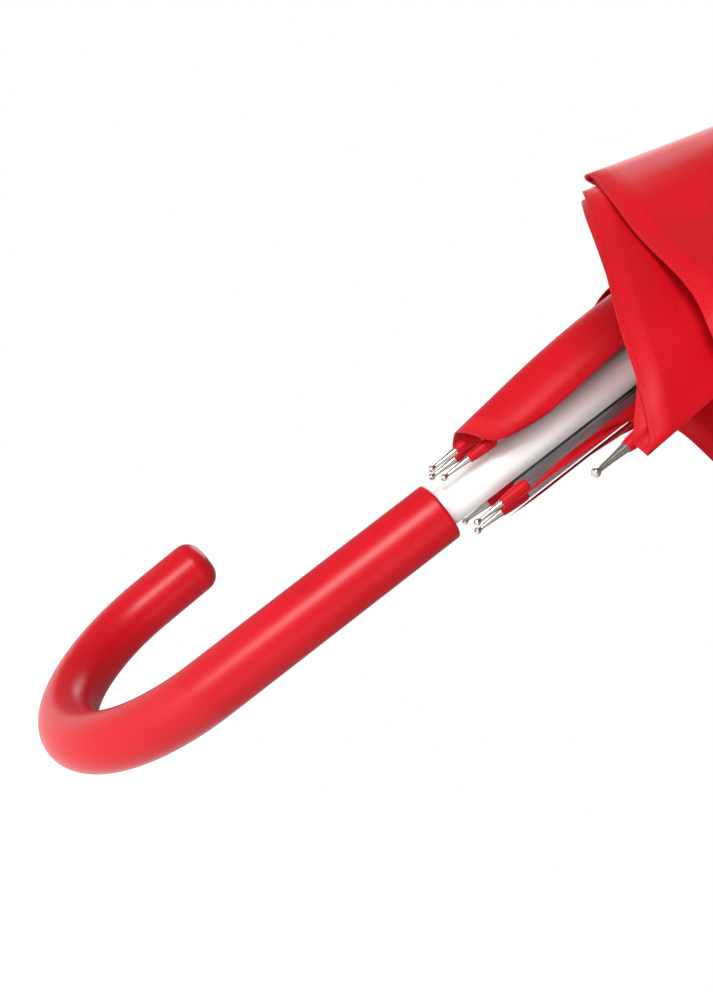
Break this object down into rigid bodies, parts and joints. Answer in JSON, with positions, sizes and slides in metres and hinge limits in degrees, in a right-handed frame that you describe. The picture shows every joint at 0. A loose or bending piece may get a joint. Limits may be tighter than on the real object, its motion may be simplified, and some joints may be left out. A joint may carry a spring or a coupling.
{
  "type": "stick umbrella",
  "caption": "Manual stick umbrella with a crook handle, a tube shaft, hinged ribs and stretchers on a sliding runner, and a loose closed cloth canopy.",
  "frame": {"origin": "middle of the straight grip, on the shaft's axis", "axes": "+Z along the shaft towards the ferrule, +X towards the open side of the crook"},
  "size_m": [0.261, 0.1227, 0.848],
  "materials": {
    "handle": "matt red soft-touch coating with a broad soft highlight",
    "shaft": "satin anodised tube",
    "ferrule": "turned, satin",
    "steel": "rolled steel channel and wire, zinc plated",
    "nickel": "polished nickel plate",
    "black_plastic": "moulded black nylon",
    "wood": "turned dowel, unfinished",
    "cloth": "red woven polyester with a satin sheen"
  },
  "bodies": {
    "root": {"handle": "handle", "handle_plug": "wood", "shaft": "shaft", "stop_pin": "steel", "top_notch": "black_plastic", "notch_wire": "steel", "rosette": "cloth", "ferrule": "ferrule", "ferrule_tip": "black_plastic"},
    "runner": {"runner": "black_plastic", "runner_wire": "steel"},
    "bottom_catch": {"bottom_catch": "steel"},
    "top_catch": {"top_catch": "steel"},
    "rib_1": {"rib_1": "steel", "rib_tip_1": "nickel", "rib_rivet_1": "steel", "canopy_panel_1": "cloth"},
    "stretcher_1": {"stretcher_1": "steel"},
    "rib_2": {"rib_2": "steel", "rib_tip_2": "nickel", "rib_rivet_2": "steel", "canopy_panel_2": "cloth"},
    "stretcher_2": {"stretcher_2": "steel"},
    "rib_3": {"rib_3": "steel", "rib_tip_3": "nickel", "rib_rivet_3": "steel", "canopy_panel_3": "cloth"},
    "stretcher_3": {"stretcher_3": "steel"},
    "rib_4": {"rib_4": "steel", "rib_tip_4": "nickel", "rib_rivet_4": "steel", "canopy_panel_4": "cloth"},
    "stretcher_4": {"stretcher_4": "steel"},
    "rib_5": {"rib_5": "steel", "rib_tip_5": "nickel", "rib_rivet_5": "steel", "canopy_panel_5": "cloth", "tie_strap": "cloth", "strap_snap": "nickel"},
    "stretcher_5": {"stretcher_5": "steel"},
    "rib_6": {"rib_6": "steel", "rib_tip_6": "nickel", "rib_rivet_6": "steel", "canopy_panel_6": "cloth"},
    "stretcher_6": {"stretcher_6": "steel"},
    "rib_7": {"rib_7": "steel", "rib_tip_7": "nickel", "rib_rivet_7": "steel", "canopy_panel_7": "cloth"},
    "stretcher_7": {"stretcher_7": "steel"},
    "rib_8": {"rib_8": "steel", "rib_tip_8": "nickel", "rib_rivet_8": "steel", "canopy_panel_8": "cloth"},
    "stretcher_8": {"stretcher_8": "steel"}
  },
  "joints": [
    {"name": "runner_slide", "type": "slide", "parent": "root", "child": "runner", "axis": [0, 0, 1], "range_m": [0, 0.37228]},
    {"name": "rib_1_hinge", "type": "hinge", "parent": "root", "child": "rib_1", "pos_m": [0.01104, 0.00587, 0.657], "axis": [0.4695, -0.8829, 0], "range_deg": [0, 77.8]},
    {"name": "stretcher_1_pivot", "type": "hinge", "parent": "rib_1", "child": "stretcher_1", "pos_m": [0.01176, 0.00625, 0.422], "axis": [-0.4695, 0.8829, 0], "range_deg": [0, 155.6]},
    {"name": "rib_2_hinge", "type": "hinge", "parent": "root", "child": "rib_2", "pos_m": [0.00365, 0.01195, 0.657], "axis": [0.9563, -0.2924, 0], "range_deg": [0, 77.9]},
    {"name": "stretcher_2_pivot", "type": "hinge", "parent": "rib_2", "child": "stretcher_2", "pos_m": [0.00378, 0.01235, 0.422], "axis": [-0.9563, 0.2924, 0], "range_deg": [0, 155.8]},
    {"name": "rib_3_hinge", "type": "hinge", "parent": "root", "child": "rib_3", "pos_m": [-0.00587, 0.01104, 0.657], "axis": [0.8829, 0.4695, 0], "range_deg": [0, 77.9]},
    {"name": "stretcher_3_pivot", "type": "hinge", "parent": "rib_3", "child": "stretcher_3", "pos_m": [-0.00606, 0.0114, 0.422], "axis": [-0.8829, -0.4695, 0], "range_deg": [0, 155.8]},
    {"name": "rib_4_hinge", "type": "hinge", "parent": "root", "child": "rib_4", "pos_m": [-0.01195, 0.00365, 0.657], "axis": [0.2924, 0.9563, 0], "range_deg": [0, 67.25]},
    {"name": "stretcher_4_pivot", "type": "hinge", "parent": "rib_4", "child": "stretcher_4", "pos_m": [-0.05387, 0.01647, 0.42612], "axis": [-0.2924, -0.9563, 0], "range_deg": [0, 134.5]},
    {"name": "rib_5_hinge", "type": "hinge", "parent": "root", "child": "rib_5", "pos_m": [-0.01104, -0.00587, 0.657], "axis": [-0.4695, 0.8829, 0], "range_deg": [0, 77.9]},
    {"name": "stretcher_5_pivot", "type": "hinge", "parent": "rib_5", "child": "stretcher_5", "pos_m": [-0.0114, -0.00606, 0.422], "axis": [0.4695, -0.8829, 0], "range_deg": [0, 155.8]},
    {"name": "rib_6_hinge", "type": "hinge", "parent": "root", "child": "rib_6", "pos_m": [-0.00365, -0.01195, 0.657], "axis": [-0.9563, 0.2924, 0], "range_deg": [0, 77.9]},
    {"name": "stretcher_6_pivot", "type": "hinge", "parent": "rib_6", "child": "stretcher_6", "pos_m": [-0.00378, -0.01235, 0.422], "axis": [0.9563, -0.2924, 0], "range_deg": [0, 155.8]},
    {"name": "rib_7_hinge", "type": "hinge", "parent": "root", "child": "rib_7", "pos_m": [0.00587, -0.01104, 0.657], "axis": [-0.8829, -0.4695, 0], "range_deg": [0, 77.9]},
    {"name": "stretcher_7_pivot", "type": "hinge", "parent": "rib_7", "child": "stretcher_7", "pos_m": [0.00606, -0.0114, 0.422], "axis": [0.8829, 0.4695, 0], "range_deg": [0, 155.8]},
    {"name": "rib_8_hinge", "type": "hinge", "parent": "root", "child": "rib_8", "pos_m": [0.01195, -0.00365, 0.657], "axis": [-0.2924, -0.9563, 0], "range_deg": [0, 77.9]},
    {"name": "stretcher_8_pivot", "type": "hinge", "parent": "rib_8", "child": "stretcher_8", "pos_m": [0.01235, -0.00378, 0.422], "axis": [0.2924, 0.9563, 0], "range_deg": [0, 155.8]},
    {"name": "bottom_catch_press", "type": "hinge", "parent": "root", "child": "bottom_catch", "pos_m": [0.0052, 0, 0.179], "axis": [0, 1, 0], "range_deg": [0, 4.5], "stiffness_Nm_per_rad": 0.5},
    {"name": "top_catch_press", "type": "hinge", "parent": "root", "child": "top_catch", "pos_m": [0.0052, 0, 0.48698], "axis": [0, -1, 0], "range_deg": [0, 4.5], "stiffness_Nm_per_rad": 0.5}
  ],
  "couplings": [
    {"joint": "rib_1_hinge", "follows": "runner_slide", "rad_per_m": 3.6474},
    {"joint": "stretcher_1_pivot", "follows": "runner_slide", "rad_per_m": 7.2948},
    {"joint": "rib_2_hinge", "follows": "runner_slide", "rad_per_m": 3.6521},
    {"joint": "stretcher_2_pivot", "follows": "runner_slide", "rad_per_m": 7.3042},
    {"joint": "rib_3_hinge", "follows": "runner_slide", "rad_per_m": 3.6521},
    {"joint": "stretcher_3_pivot", "follows": "runner_slide", "rad_per_m": 7.3042},
    {"joint": "rib_4_hinge", "follows": "runner_slide", "rad_per_m": 3.1528},
    {"joint": "stretcher_4_pivot", "follows": "runner_slide", "rad_per_m": 6.3056},
    {"joint": "rib_5_hinge", "follows": "runner_slide", "rad_per_m": 3.6521},
    {"joint": "stretcher_5_pivot", "follows": "runner_slide", "rad_per_m": 7.3042},
    {"joint": "rib_6_hinge", "follows": "runner_slide", "rad_per_m": 3.6521},
    {"joint": "stretcher_6_pivot", "follows": "runner_slide", "rad_per_m": 7.3042},
    {"joint": "rib_7_hinge", "follows": "runner_slide", "rad_per_m": 3.6521},
    {"joint": "stretcher_7_pivot", "follows": "runner_slide", "rad_per_m": 7.3042},
    {"joint": "rib_8_hinge", "follows": "runner_slide", "rad_per_m": 3.6521},
    {"joint": "stretcher_8_pivot", "follows": "runner_slide", "rad_per_m": 7.3042}
  ]
}
